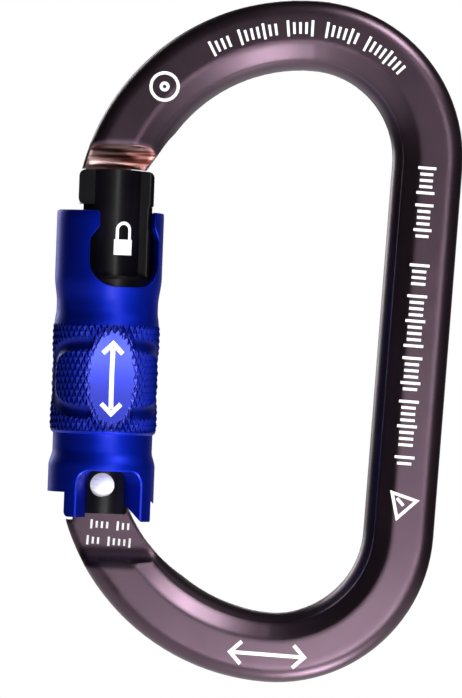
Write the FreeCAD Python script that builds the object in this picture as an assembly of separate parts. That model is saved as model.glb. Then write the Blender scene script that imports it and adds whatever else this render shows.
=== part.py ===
import FreeCAD, Part
import math
import os

# Oval locking carabiner, 110 x 65 mm, in millimetres.
# The body lies in the XZ plane. +Z runs up the spine, +X from the gate to the spine, +Y to the back.
# The origin is the inner apex of the upper bow, where a rope or a sling sits.
#
# The gate and its sleeve are modelled in the lock frame: its z axis is the sleeve's axis, its x axis
# points to the spine, and its origin is on the sleeve's axis at the height of the hinge.
# A direction round the sleeve is an angle from the front (-Y), positive towards the spine.

# ---- body: the forged aluminium bar ----
BAR_WIDTH = 11.3            # in the plane of the body
BAR_HALF_THICKNESS = 5.5
SPINE_BEND = 14.0           # inner radius of both bows on the spine's side
GATE_BEND = 25.2            # inner radius of both bows on the gate's side
INNER_LENGTH = 87.6         # between the inner apexes of the two bows
ROPE_ROUND = 4.5            # radius of the rope-bearing inner side
CREASE_ACROSS = 1.6         # from the inner side to the crease beside it
CREASE_WIDTH = 0.15
CREASE_DEPTH = 0.45
FLAT_START = 4.4            # the bevel rises from the crease to here, where it meets the flat
OUTER_ROUND = 2.4

# ---- lock frame ----
AXIS_FOOT_X = -28.9
AXIS_FOOT_Z = -69.3
AXIS_LEAN = 2.4             # degrees, outwards at the top
HINGE_OFFSET = 0.3          # rivet's centre from the sleeve's axis, towards the spine

# ---- nose of the body, a T seen along X ----
SHOULDER_R = 51.2           # radii about the hinge
NOSE_LEDGE_R = 49.3
NOSE_TIP_R = 47.45
NOSE_NECK_HALF = 1.9
NOSE_HEAD_HALF = 3.0
NOSE_OUTER_X = -4.3
NOSE_INNER_X = 3.0
SCOOP_RADIUS = 3.7
SCOOP_HEIGHT = 51.15
SCOOP_INNER_X = 5.5         # the scoops' inner ends lie beyond this
SCOOP_OUTER_ROUND = 0.6
SCOOP_INNER_ROUND = 0.5
NOSE_NECK_RISE = 0.6        # how far the tongue is sunk into the nose

# ---- tang of the body ----
TANG_HALF = 2.5
TANG_RADIUS = 4.1
TANG_CAM_HEIGHT = 3.1
TANG_HOLE_R = 2.0
TANG_OUTER_X = -4.35
TANG_STEP_HEIGHT = -5.75
PAD_END_HEIGHT = -9.9
PAD_FILLET = 2.4
PAD_EDGE_ROUND = 0.9
ROOT_RADIUS = 7.0           # about the hinge, where the boss runs into the pad
ROOT_INNER_X = 4.0
ROOT_BOTTOM = -6.0

# ---- gate arm ----
STEM_R = 5.1
FLANGE_R = 7.2
FLANGE_BOTTOM = 28.8
FLANGE_TOP = 33.8
NECK_FLAT_X = -4.4
NECK_RIB_X = 6.7
RIB_HALF = 1.9
RIB_FILLET = 0.8
RIB_CORNER_R = 7.1          # radius about the sleeve's axis
HEAD_BOTTOM = 45.2
HEAD_TOP_R = 50.95
HEAD_RIB_X = 6.9
HEAD_EAR_X = -5.2
HEAD_EAR_HALF = 4.4
HEAD_CORNER = 1.0
HEAD_CROWN = 0.2            # the head's top is an arc this much higher in the middle
FLANGE_CHAMFER = 0.6
CHEEK_BOTTOM = -4.6
CHEEK_CORNER = 1.0
CLEVIS_HALF = 2.7
CLEVIS_TOP = 4.45
SLOT_GAP = 0.2              # nose to keylock slot, all round
SLOT_BACK_X = 3.3

# ---- hinge rivet ----
RIVET_R = 1.95
RIVET_EDGE_HALF = 4.6
RIVET_DOME = 0.45

# ---- gate spring and plunger, in a bore up the gate arm ----
BORE_R = 1.7
BORE_TOP = 23.0
PLUNGER_R = 1.6
PLUNGER_BOTTOM = 3.2
PLUNGER_TOP = 8.8
PLUNGER_SPIGOT_R = 0.75
PLUNGER_SPIGOT_TOP = 10.6
PLUNGER_CHAMFER = 0.3
GATE_WIRE_R = 0.22
GATE_COIL_R = 1.2
GATE_COIL_TURNS = 9

# ---- lock sleeve ----
SLEEVE_TOP = 44.2
SLEEVE_BOTTOM = -6.2
SLEEVE_BORE = 5.2
SLEEVE_WIDE_BORE = 7.3
SLEEVE_STEP = 8.4
SKIRT_R = 8.6
LOWER_WAIST_R = 8.05
BAND_R = 8.7
BAND_BOTTOM = 8.6
BAND_TOP = 25.9
UPPER_WAIST_R = 8.2
COLLAR_R = 8.65
SKIRT_TOP = 3.3             # the heights between which the sleeve narrows and widens again
LOWER_WAIST_START = 5.3
LOWER_WAIST_END = 7.3
UPPER_WAIST_START = 27.0
UPPER_WAIST_END = 29.6
COLLAR_BOTTOM = 32.3
RIM_CHAMFER = 0.3
KEYHOLE_CENTRE = 24.3
KEYHOLE_HALF = 6.15
KEYHOLE_NECK_HALF = 4.96
KEYHOLE_BOTTOM = 32.0
KEYHOLE_CORNER = 4.0
KEYHOLE_SHOULDER = 40.8
KEYHOLE_NECK_BOTTOM = 42.0
KEYHOLE_SHOULDER_R = 1.4
FACET_CENTRE = 9.4
FACET_HALF_WIDTH = 3.75
FACET_HEIGHT = 17.2
FACET_HALF_LENGTH = 7.75
ARCH_CENTRE = 12.0
ARCH_HALF_ANGLE = 38.5
ARCH_TOP = 2.3
ARCH_CORNER = 2.35
LEFT_LUG_ANGLE = -42.0
LEFT_LUG_END = -5.4
RIGHT_LUG_ANGLE = 125.0
RIGHT_LUG_INNER_END = -3.0
RIGHT_LUG_OUTER_END = -5.7
REAR_INNER_END = 0.7
REAR_OUTER_END = -1.3
TANG_SLOT_HALF = 2.85
TANG_SLOT_INNER_TOP = 0.5
TANG_SLOT_OUTER_TOP = -2.8
CUT_NEAR = 3.0              # what is milled off the sleeve lies between these radii
CUT_FAR = 12.0
CUT_BOTTOM = -20.0

# ---- inside the sleeve ----
BUSH_BORE = 5.25
BUSH_TOP = 15.6
PIN_R = 1.0
PIN_HEIGHT = 13.2
PIN_INNER = 2.5
PIN_OUTER = 6.9
PIN_ANGLE = 180.0
TRACK_GAP = 0.2
LIFT = 2.2
TURN = 110.0
WASHER_BORE = 5.25
WASHER_R = 7.15
WASHER_BOTTOM = 15.7
WASHER_TOP = 16.5
SEAT_BOTTOM = 28.0
SLEEVE_WIRE_R = 0.35
SLEEVE_COIL_R = 6.2
SLEEVE_COIL_TURNS = 6

# ---- picking edges to round ----
NEAR = 0.1
PAD_MARGIN = 0.5
SCOOP_INNER_TOP = 4.5       # from the middle plane to the scoops' deepest inner edges

WIDE = 20.0                 # reaches past the bar on every side
X_AXIS = FreeCAD.Vector(1, 0, 0)
Y_AXIS = FreeCAD.Vector(0, 1, 0)
Z_AXIS = FreeCAD.Vector(0, 0, 1)
LOCK_FRAME = FreeCAD.Placement(
    FreeCAD.Vector(AXIS_FOOT_X, 0, AXIS_FOOT_Z), FreeCAD.Rotation(Y_AXIS, -AXIS_LEAN)
)


# ---- helpers ----
def vec(x, y, z):
    return FreeCAD.Vector(x, y, z)


def from_lock(shape):
    """Moves a shape made in the lock frame to its place in the object."""
    moved = shape.copy()
    moved.Placement = LOCK_FRAME.multiply(moved.Placement)
    return moved


def to_lock(shape):
    """Moves a shape made in the object's frame into the lock frame."""
    moved = shape.copy()
    moved.Placement = LOCK_FRAME.inverse().multiply(moved.Placement)
    return moved


def turned(shape, angle):
    """Turns a shape about the z axis."""
    moved = shape.copy()
    moved.rotate(vec(0, 0, 0), Z_AXIS, angle)
    return moved


def polygon_face(points):
    """A flat face from (x, z) points in the plane y = 0."""
    corners = [vec(x, 0, z) for x, z in points]
    return Part.Face(Part.makePolygon(corners + corners[:1]))


def plate(points, half_thickness):
    """A plate with an (x, z) outline, spread evenly about y = 0."""
    solid = polygon_face(points).extrude(vec(0, 2 * half_thickness, 0))
    solid.translate(vec(0, -half_thickness, 0))
    return solid


def box(x0, x1, y0, y1, z0, z1):
    return Part.makeBox(x1 - x0, y1 - y0, z1 - z0, vec(x0, y0, z0))


def cylinder(radius, z0, z1):
    return Part.makeCylinder(radius, z1 - z0, vec(0, 0, z0))


def ring(inner, outer, z0, z1):
    return cylinder(outer, z0, z1).cut(cylinder(inner, z0 - 1, z1 + 1))


def cross_cylinder(radius, x, z, half_length):
    """A cylinder along Y, spread evenly about y = 0."""
    return Part.makeCylinder(radius, 2 * half_length, vec(x, -half_length, z), Y_AXIS)


def x_cylinder(radius, y, z):
    """A long cylinder along X."""
    return Part.makeCylinder(radius, 2 * WIDE, vec(-WIDE, y, z), X_AXIS)


def sector(points, start, end):
    """Revolves (radius, z) points about the z axis, between two directions round the sleeve."""
    solid = polygon_face(points).revolve(vec(0, 0, 0), Z_AXIS, end - start)
    return turned(solid, start - 90.0)


def radial_block(outline, centre, inner, outer):
    """Extrudes an outline of (sideways, z) edges outwards from the axis in one direction."""
    face = Part.Face(outline)
    face.translate(vec(0, -inner, 0))
    return turned(face.extrude(vec(0, inner - outer, 0)), centre)


def line(a, b):
    return Part.LineSegment(vec(a[0], 0, a[1]), vec(b[0], 0, b[1])).toShape()


def arc(a, middle, b):
    points = [vec(p[0], 0, p[1]) for p in (a, middle, b)]
    return Part.Arc(*points).toShape()


def on_circle(centre, radius, angle):
    a = math.radians(angle)
    return (centre[0] + radius * math.cos(a), centre[1] + radius * math.sin(a))


def rounded(centre, radius, start, end):
    """A circular edge in the plane y = 0, between two angles in degrees."""
    angles = (start, (start + end) / 2, end)
    return arc(*[on_circle(centre, radius, angle) for angle in angles])


def thick_face(edges, half_thickness):
    """A plate bounded by a closed run of edges in the plane y = 0, spread evenly about it."""
    solid = Part.Face(Part.Wire(edges)).extrude(vec(0, 2 * half_thickness, 0))
    solid.translate(vec(0, -half_thickness, 0))
    return solid


def coil(coil_radius, wire_radius, z0, z1, turns):
    """An open coil of round wire whose outer faces reach z0 and z1."""
    height = z1 - z0 - 2 * wire_radius
    path = Part.makeHelix(height / turns, height, coil_radius)
    start = Part.Wire(Part.makeCircle(wire_radius, vec(coil_radius, 0, 0), Y_AXIS))
    solid = Part.Wire(path).makePipeShell([start], True, True)
    solid.translate(vec(0, 0, z0 + wire_radius))
    return solid


# ---- body ----
def bar_section(inner_radius):
    """The bar's section on the +X side of a bend whose inner radius is given."""
    crease_y = math.sqrt(ROPE_ROUND ** 2 - (ROPE_ROUND - CREASE_ACROSS) ** 2)
    bevel_start = CREASE_ACROSS + CREASE_WIDTH
    flat_end = BAR_WIDTH - OUTER_ROUND
    outer_y = BAR_HALF_THICKNESS - OUTER_ROUND

    def at(across, y):
        return vec(inner_radius + across, y, 0)

    rope_side = Part.Arc(at(CREASE_ACROSS, crease_y), at(0, 0), at(CREASE_ACROSS, -crease_y))
    outer_side = Part.LineSegment(at(BAR_WIDTH, outer_y), at(BAR_WIDTH, -outer_y))
    edges = [rope_side.toShape(), outer_side.toShape()]
    for side in (1, -1):
        crease = at(CREASE_ACROSS, side * crease_y)
        bevel = at(bevel_start, side * (crease_y + CREASE_DEPTH))
        flat = at(FLAT_START, side * BAR_HALF_THICKNESS)
        edge = at(flat_end, side * BAR_HALF_THICKNESS)
        outer_across, outer_top = on_circle((flat_end, outer_y), OUTER_ROUND, 45)
        end = at(BAR_WIDTH, side * outer_y)
        edges.append(Part.LineSegment(crease, bevel).toShape())
        edges.append(Part.LineSegment(bevel, flat).toShape())
        edges.append(Part.LineSegment(flat, edge).toShape())
        edges.append(Part.Arc(edge, at(outer_across, side * outer_top), end).toShape())
    return Part.Face(Part.Wire(Part.__sortEdges__(edges)))


def bend(inner_radius, centre_z, start, end):
    """A stretch of bar bent about (0, centre_z), from one angle to another, anticlockwise."""
    face = bar_section(inner_radius)
    face.rotate(vec(0, 0, 0), Y_AXIS, -start)
    solid = face.revolve(vec(0, 0, 0), Y_AXIS, start - end)
    solid.translate(vec(0, 0, centre_z))
    return solid


def bar():
    upper_spine_z = -SPINE_BEND
    lower_spine_z = SPINE_BEND - INNER_LENGTH
    spine = bar_section(SPINE_BEND).extrude(vec(0, 0, upper_spine_z - lower_spine_z))
    spine.translate(vec(0, 0, lower_spine_z))
    pieces = [
        bend(SPINE_BEND, upper_spine_z, 0, 90),
        bend(GATE_BEND, -GATE_BEND, 90, 178),
        bend(GATE_BEND, GATE_BEND - INNER_LENGTH, 190, 270),
        bend(SPINE_BEND, lower_spine_z, 270, 360),
    ]
    return spine.fuse(pieces).removeSplitter()


def nose_trim():
    """What is cut off the bar's upper end, in the lock frame."""
    near_nose = box(-WIDE, 15, -WIDE, WIDE, 30, 60)
    cuts = [cross_cylinder(SHOULDER_R, HINGE_OFFSET, 0, WIDE).common(near_nose)]
    for side in (1, -1):
        scoop_y = side * (NOSE_NECK_HALF + SCOOP_RADIUS)
        cuts.append(x_cylinder(SCOOP_RADIUS, scoop_y, SCOOP_HEIGHT))
    return cuts[0].fuse(cuts[1:])


def nose_tongue():
    """The T-shaped tongue that the gate's keylock slot closes over, in the lock frame."""
    stem = cross_cylinder(SHOULDER_R + NOSE_NECK_RISE, HINGE_OFFSET, 0, NOSE_NECK_HALF)
    head = cross_cylinder(NOSE_LEDGE_R, HINGE_OFFSET, 0, NOSE_HEAD_HALF)
    inside = cross_cylinder(NOSE_TIP_R, HINGE_OFFSET, 0, WIDE)
    limits = box(NOSE_OUTER_X, NOSE_INNER_X, -WIDE, WIDE, 40, 60)
    return stem.fuse(head).cut(inside).common(limits)


def nose_chamfer():
    """The inner edge is cut back where the nose meets the gate."""
    edge_top = (-20.7, -11.0)
    edge_knee = (-22.35, -13.0)
    edge_bottom = (-26.1, -19.1)
    return plate([edge_top, edge_knee, edge_bottom, (-20.0, -22.0), (-16.0, -14.0)], WIDE)


def tang_trim():
    """What is cut off the bar's lower end to leave the tang, in the lock frame."""
    corner_y = TANG_HALF + PAD_FILLET
    cuts = [
        box(-WIDE, WIDE, -WIDE, WIDE, 0, WIDE),
        box(-WIDE, TANG_OUTER_X, -WIDE, WIDE, TANG_STEP_HEIGHT, WIDE),
    ]
    for side in (1, -1):
        y0, y1 = sorted((side * TANG_HALF, side * WIDE))
        cuts.append(box(-WIDE, WIDE, y0, y1, PAD_END_HEIGHT, WIDE))
        cuts.append(x_cylinder(PAD_FILLET, side * corner_y, PAD_END_HEIGHT))
        y0, y1 = sorted((side * corner_y, side * WIDE))
        cuts.append(box(-WIDE, WIDE, y0, y1, PAD_END_HEIGHT - PAD_FILLET, PAD_END_HEIGHT + 1))
    return cuts[0].fuse(cuts[1:])


def tang_inner_trim():
    """The tang's inner edge is cut back, blending into the lower bow."""
    start = (-24.3, -72.5)
    middle = (-19.7, -79.0)
    end = (-14.5, -83.0)
    above_end = (-10.0, -70.0)
    above_start = (-24.6, -66.0)
    straight = [line(end, above_end), line(above_end, above_start), line(above_start, start)]
    return thick_face([arc(start, middle, end)] + straight, WIDE)


def edges_within(shape, low, high):
    """Edges, in front and behind, whose centres lie in a box given by its front half's corners."""
    found = []
    for edge in shape.Edges:
        c = edge.CenterOfMass
        if low.x < c.x < high.x and low.y < abs(c.y) < high.y and low.z < c.z < high.z:
            found.append(edge)
    return found


def soften(shape):
    """Rounds the edges that the milling leaves on the outside of the bar, in the lock frame."""
    pad_low = vec(-WIDE, TANG_HALF - NEAR, PAD_END_HEIGHT)
    pad_high = vec(TANG_OUTER_X, TANG_HALF + NEAR, TANG_STEP_HEIGHT - PAD_MARGIN)
    shape = shape.makeFillet(PAD_EDGE_ROUND, edges_within(shape, pad_low, pad_high))
    scoop_top = SCOOP_HEIGHT + SCOOP_RADIUS
    outer_low = vec(-WIDE, NOSE_NECK_HALF + NEAR, SHOULDER_R)
    outer_high = vec(NOSE_OUTER_X, NOSE_HEAD_HALF, scoop_top)
    shape = shape.makeFillet(SCOOP_OUTER_ROUND, edges_within(shape, outer_low, outer_high))
    inner_low = vec(SCOOP_INNER_X, NOSE_NECK_HALF + NEAR, SHOULDER_R)
    inner_high = vec(WIDE, SCOOP_INNER_TOP, scoop_top)
    return shape.makeFillet(SCOOP_INNER_ROUND, edges_within(shape, inner_low, inner_high))


def body():
    boss = cross_cylinder(TANG_RADIUS, HINGE_OFFSET, 0, TANG_HALF)
    root = box(TANG_OUTER_X, ROOT_INNER_X, -TANG_HALF, TANG_HALF, ROOT_BOTTOM, 0)
    boss = boss.fuse(root.common(cross_cylinder(ROOT_RADIUS, HINGE_OFFSET, 0, TANG_HALF)))
    shape = bar().cut(from_lock(nose_trim())).cut(nose_chamfer())
    shape = shape.cut(from_lock(tang_trim())).cut(tang_inner_trim())
    shape = shape.fuse([from_lock(nose_tongue()), from_lock(boss)])
    shape = shape.cut(from_lock(cross_cylinder(TANG_HOLE_R, HINGE_OFFSET, 0, WIDE)))
    cam = box(-WIDE, WIDE, -WIDE, WIDE, TANG_CAM_HEIGHT, WIDE)
    shape = to_lock(shape.cut(from_lock(cam)).removeSplitter())
    return from_lock(soften(shape))


# ---- gate ----
def gate_rib(face_x, z0, z1):
    """A rib on the spine's side of the gate, with rounded edges."""
    rib = box(0, face_x, -RIB_HALF, RIB_HALF, z0, z1)
    face_edges = [e for e in rib.Edges if abs(e.CenterOfMass.x - face_x) < 0.01]
    long_edges = [e for e in face_edges if abs(e.CenterOfMass.y) > RIB_HALF - 0.01]
    return rib.makeFillet(RIB_FILLET, long_edges).common(cylinder(RIB_CORNER_R, z0, z1))


def head_outline():
    """The head seen from the front: three rounded corners and a slightly crowned top."""
    low, high = HEAD_EAR_X, HEAD_RIB_X
    bottom, top = HEAD_BOTTOM, HEAD_TOP_R - HEAD_CROWN
    corner = HEAD_CORNER
    return [
        line((low + corner, bottom), (high, bottom)),
        line((high, bottom), (high, top - corner)),
        rounded((high - corner, top - corner), corner, 0, 90),
        arc((high - corner, top), (HINGE_OFFSET, HEAD_TOP_R), (low + corner, top)),
        rounded((low + corner, top - corner), corner, 90, 180),
        line((low, top - corner), (low, bottom + corner)),
        rounded((low + corner, bottom + corner), corner, 180, 270),
    ]


def gate_head():
    """The head with its keylock slot, which opens outwards and upwards between two ears."""
    core = cylinder(STEM_R, HEAD_BOTTOM, 60)
    ears = box(HEAD_EAR_X, 0, -HEAD_EAR_HALF, HEAD_EAR_HALF, HEAD_BOTTOM, 60)
    ears = ears.common(cylinder(RIB_CORNER_R, HEAD_BOTTOM, 60))
    solid = core.fuse([ears, gate_rib(HEAD_RIB_X, HEAD_BOTTOM, 60)])
    return solid.common(thick_face(head_outline(), WIDE)).cut(keylock_slot())


def keylock_slot():
    """Concentric with the hinge, so that the gate swings off the nose."""
    throat = cross_cylinder(60, HINGE_OFFSET, 0, NOSE_NECK_HALF + SLOT_GAP)
    pocket = cross_cylinder(NOSE_LEDGE_R + SLOT_GAP, HINGE_OFFSET, 0, NOSE_HEAD_HALF + SLOT_GAP)
    below = cross_cylinder(NOSE_TIP_R - SLOT_GAP, HINGE_OFFSET, 0, WIDE)
    limits = box(-WIDE, SLOT_BACK_X, -WIDE, WIDE, 40, 60)
    return throat.fuse(pocket).cut(below).common(limits)


def gate_neck():
    core = cylinder(STEM_R, FLANGE_TOP - 1, HEAD_BOTTOM + 0.5)
    neck = core.fuse(gate_rib(NECK_RIB_X, FLANGE_TOP - 1, HEAD_BOTTOM + 0.5))
    return neck.cut(box(-WIDE, NECK_FLAT_X, -WIDE, WIDE, FLANGE_TOP, HEAD_BOTTOM))


def gate_arm():
    stem = cylinder(STEM_R, CHEEK_BOTTOM, FLANGE_BOTTOM + 1)
    flange = cylinder(FLANGE_R, FLANGE_BOTTOM, FLANGE_TOP)
    flange_edge = [e for e in flange.Edges if e.CenterOfMass.z > FLANGE_TOP - NEAR]
    flange = flange.makeChamfer(FLANGE_CHAMFER, flange_edge)
    arm = stem.fuse([flange, gate_neck(), gate_head()])
    arm = arm.cut(box(-WIDE, WIDE, -CLEVIS_HALF, CLEVIS_HALF, CHEEK_BOTTOM - 1, CLEVIS_TOP))
    arm = arm.cut(cylinder(BORE_R, CLEVIS_TOP - 1, BORE_TOP))
    arm = arm.cut(cross_cylinder(RIVET_R, HINGE_OFFSET, 0, WIDE))
    arm = arm.cut(guide_pin())
    corner = math.hypot(STEM_R - CHEEK_CORNER - HINGE_OFFSET, CHEEK_BOTTOM)
    toe = box(-WIDE, WIDE, -WIDE, WIDE, CHEEK_BOTTOM - 1, 0)
    arm = arm.cut(toe.cut(cross_cylinder(corner, HINGE_OFFSET, 0, WIDE)))
    return arm.removeSplitter()


def hinge_rivet():
    """A plain shank with a shallow dome at each end, flush with the cheeks."""
    shank = cross_cylinder(RIVET_R, HINGE_OFFSET, 0, RIVET_EDGE_HALF)
    dome_radius = (RIVET_R ** 2 + RIVET_DOME ** 2) / (2 * RIVET_DOME)
    reach = RIVET_EDGE_HALF + RIVET_DOME - dome_radius
    long_shank = cross_cylinder(RIVET_R, HINGE_OFFSET, 0, 8)
    domes = []
    for side in (1, -1):
        ball = Part.makeSphere(dome_radius, vec(HINGE_OFFSET, side * reach, 0))
        y0, y1 = sorted((side * (RIVET_EDGE_HALF - 0.5), side * 8))
        domes.append(ball.common(long_shank).common(box(-5, 5, y0, y1, -5, 5)))
    return shank.fuse(domes).removeSplitter()


def gate_plunger():
    shank = cylinder(PLUNGER_R, PLUNGER_BOTTOM, PLUNGER_TOP)
    ends = [e for e in shank.Edges if e.CenterOfMass.z < PLUNGER_BOTTOM + NEAR]
    shank = shank.makeChamfer(PLUNGER_CHAMFER, ends)
    return shank.fuse(cylinder(PLUNGER_SPIGOT_R, PLUNGER_TOP, PLUNGER_SPIGOT_TOP)).removeSplitter()


def gate_spring():
    return coil(GATE_COIL_R, GATE_WIRE_R, PLUNGER_TOP, BORE_TOP, GATE_COIL_TURNS)


# ---- lock sleeve ----
def sleeve_blank():
    """The turned sleeve before its windows are milled."""
    outline = [
        (SLEEVE_BORE, SLEEVE_BOTTOM),
        (SKIRT_R - RIM_CHAMFER, SLEEVE_BOTTOM),
        (SKIRT_R, SLEEVE_BOTTOM + RIM_CHAMFER),
        (SKIRT_R, SKIRT_TOP),
        (LOWER_WAIST_R, LOWER_WAIST_START),
        (LOWER_WAIST_R, LOWER_WAIST_END),
        (BAND_R, BAND_BOTTOM),
        (BAND_R, BAND_TOP),
        (UPPER_WAIST_R, UPPER_WAIST_START),
        (UPPER_WAIST_R, UPPER_WAIST_END),
        (COLLAR_R, COLLAR_BOTTOM),
        (COLLAR_R, SLEEVE_TOP - RIM_CHAMFER),
        (COLLAR_R - RIM_CHAMFER, SLEEVE_TOP),
        (SLEEVE_WIDE_BORE, SLEEVE_TOP),
        (SLEEVE_WIDE_BORE, SLEEVE_STEP),
        (SLEEVE_BORE, SLEEVE_STEP),
    ]
    return sector(outline, 0, 360)


def keyhole_window():
    """Shows the padlock mark. Its neck is narrower than its round-bottomed part."""
    half, neck, corner = KEYHOLE_HALF, KEYHOLE_NECK_HALF, KEYHOLE_CORNER
    low, top = KEYHOLE_BOTTOM, SLEEVE_TOP + 5
    shoulder = KEYHOLE_SHOULDER - KEYHOLE_SHOULDER_R
    round_x = half - KEYHOLE_SHOULDER_R
    outline = [
        line((corner - half, low), (half - corner, low)),
        rounded((half - corner, low + corner), corner, 270, 360),
        line((half, low + corner), (half, shoulder)),
        rounded((round_x, shoulder), KEYHOLE_SHOULDER_R, 0, 60),
        line(on_circle((round_x, shoulder), KEYHOLE_SHOULDER_R, 60), (neck, KEYHOLE_NECK_BOTTOM)),
        line((neck, KEYHOLE_NECK_BOTTOM), (neck, top)),
        line((neck, top), (-neck, top)),
        line((-neck, top), (-neck, KEYHOLE_NECK_BOTTOM)),
        line((-neck, KEYHOLE_NECK_BOTTOM), on_circle((-round_x, shoulder), KEYHOLE_SHOULDER_R, 120)),
        rounded((-round_x, shoulder), KEYHOLE_SHOULDER_R, 120, 180),
        line((-half, shoulder), (-half, low + corner)),
        rounded((corner - half, low + corner), corner, 180, 270),
    ]
    return radial_block(Part.Wire(outline), KEYHOLE_CENTRE, CUT_NEAR, CUT_FAR)


def arch_window():
    """Clears the hinge rivet and the gate's cheek. Its side walls are radial."""
    start = ARCH_CENTRE - ARCH_HALF_ANGLE
    end = ARCH_CENTRE + ARCH_HALF_ANGLE
    spring_line = ARCH_TOP - ARCH_CORNER
    low, high = CUT_BOTTOM, spring_line
    sides = sector([(CUT_NEAR, low), (CUT_FAR, low), (CUT_FAR, high), (CUT_NEAR, high)], start, end)
    half = SKIRT_R * math.sin(math.radians(ARCH_HALF_ANGLE))
    outline = [
        line((-half, spring_line), (half, spring_line)),
        rounded((half - ARCH_CORNER, spring_line), ARCH_CORNER, 0, 90),
        line((half - ARCH_CORNER, ARCH_TOP), (ARCH_CORNER - half, ARCH_TOP)),
        rounded((ARCH_CORNER - half, spring_line), ARCH_CORNER, 90, 180),
    ]
    return sides.fuse(radial_block(Part.Wire(outline), ARCH_CENTRE, CUT_NEAR, CUT_FAR))


def slanted_outline(inner_end, outer_end):
    """The (radius, z) corners of what lies below a slanted end face of the skirt."""
    slope = (outer_end - inner_end) / (SKIRT_R - SLEEVE_BORE)
    near_z = inner_end + slope * (CUT_NEAR - SLEEVE_BORE)
    far_z = inner_end + slope * (CUT_FAR - SLEEVE_BORE)
    return [(CUT_NEAR, near_z), (CUT_NEAR, CUT_BOTTOM), (CUT_FAR, CUT_BOTTOM), (CUT_FAR, far_z)]


def tang_slot():
    """A parallel slot beside the spine that clears the tang when the gate swings."""
    return plate(slanted_outline(TANG_SLOT_INNER_TOP, TANG_SLOT_OUTER_TOP), TANG_SLOT_HALF)


def facet(angle):
    """A smooth oval flat in the middle of the knurled band."""
    plane = math.sqrt(BAND_R ** 2 - FACET_HALF_WIDTH ** 2)
    middle = vec(0, -plane, FACET_HEIGHT)
    long_end = middle + vec(0, 0, FACET_HALF_LENGTH)
    side_end = middle + vec(FACET_HALF_WIDTH, 0, 0)
    oval = Part.Face(Part.Wire([Part.Ellipse(long_end, side_end, middle).toShape()]))
    return turned(oval.extrude(vec(0, plane - CUT_FAR, 0)), angle)


def lock_sleeve():
    left_lug = slanted_outline(LEFT_LUG_END, LEFT_LUG_END)
    right_lug = slanted_outline(RIGHT_LUG_INNER_END, RIGHT_LUG_OUTER_END)
    rear = slanted_outline(REAR_INNER_END, REAR_OUTER_END)
    cuts = [
        keyhole_window(),
        arch_window(),
        sector(left_lug, LEFT_LUG_ANGLE, ARCH_CENTRE),
        sector(right_lug, ARCH_CENTRE, RIGHT_LUG_ANGLE),
        sector(rear, RIGHT_LUG_ANGLE, 360 + LEFT_LUG_ANGLE),
        tang_slot(),
        facet(FACET_CENTRE),
        facet(FACET_CENTRE + 180),
    ]
    sleeve = sleeve_blank()
    for cut in cuts:
        sleeve = sleeve.cut(cut)
    return sleeve


# ---- inside the sleeve ----
def track_bush():
    """A bush pressed into the sleeve, with the track that the guide pin runs in."""
    low = PIN_HEIGHT - LIFT - PIN_R - TRACK_GAP
    high = PIN_HEIGHT + PIN_R + TRACK_GAP
    margin = math.degrees(math.asin((PIN_R + TRACK_GAP) / BUSH_BORE))
    start = PIN_ANGLE - margin
    end = PIN_ANGLE + TURN + margin
    track = sector([(CUT_NEAR, low), (CUT_FAR, low), (CUT_FAR, high), (CUT_NEAR, high)], start, end)
    return ring(BUSH_BORE, SLEEVE_WIDE_BORE, SLEEVE_STEP, BUSH_TOP).cut(track)


def guide_pin():
    pin = Part.makeCylinder(PIN_R, PIN_OUTER - PIN_INNER, vec(0, -PIN_INNER, PIN_HEIGHT), vec(0, -1, 0))
    return turned(pin, PIN_ANGLE)


def thrust_washer():
    return ring(WASHER_BORE, WASHER_R, WASHER_BOTTOM, WASHER_TOP)


def spring_seat():
    return ring(STEM_R, WASHER_R, SEAT_BOTTOM, FLANGE_BOTTOM)


def sleeve_spring():
    return coil(SLEEVE_COIL_R, SLEEVE_WIRE_R, WASHER_TOP, SEAT_BOTTOM, SLEEVE_COIL_TURNS)


def parts():
    lock_frame_parts = {
        "gate_arm": gate_arm(),
        "hinge_rivet": hinge_rivet(),
        "gate_plunger": gate_plunger(),
        "gate_spring": gate_spring(),
        "lock_sleeve": lock_sleeve(),
        "track_bush": track_bush(),
        "guide_pin": guide_pin(),
        "thrust_washer": thrust_washer(),
        "spring_seat": spring_seat(),
        "sleeve_spring": sleeve_spring(),
    }
    made = {name: from_lock(shape) for name, shape in lock_frame_parts.items()}
    made["body_frame"] = body()
    return made


def main():
    os.makedirs("parts", exist_ok=True)
    for name, shape in parts().items():
        shape.exportStep(os.path.join("parts", name + ".step"))
        size = shape.BoundBox
        print(name, "valid", shape.isValid(), "solids", len(shape.Solids), "volume", round(shape.Volume, 1),
              "size", round(size.XLength, 2), round(size.YLength, 2), round(size.ZLength, 2))


main()
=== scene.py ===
"""The looks of the locking carabiner: an oval aluminium body, a black gate and a knurled blue sleeve.

Lengths here are in metres unless a name ends in _MM. The lock frame has its z axis on the sleeve's
axis, its x axis towards the spine and its origin on that axis at the height of the hinge.
"""
import math
import bpy
import bmesh
from mathutils import Matrix, Vector


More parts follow.
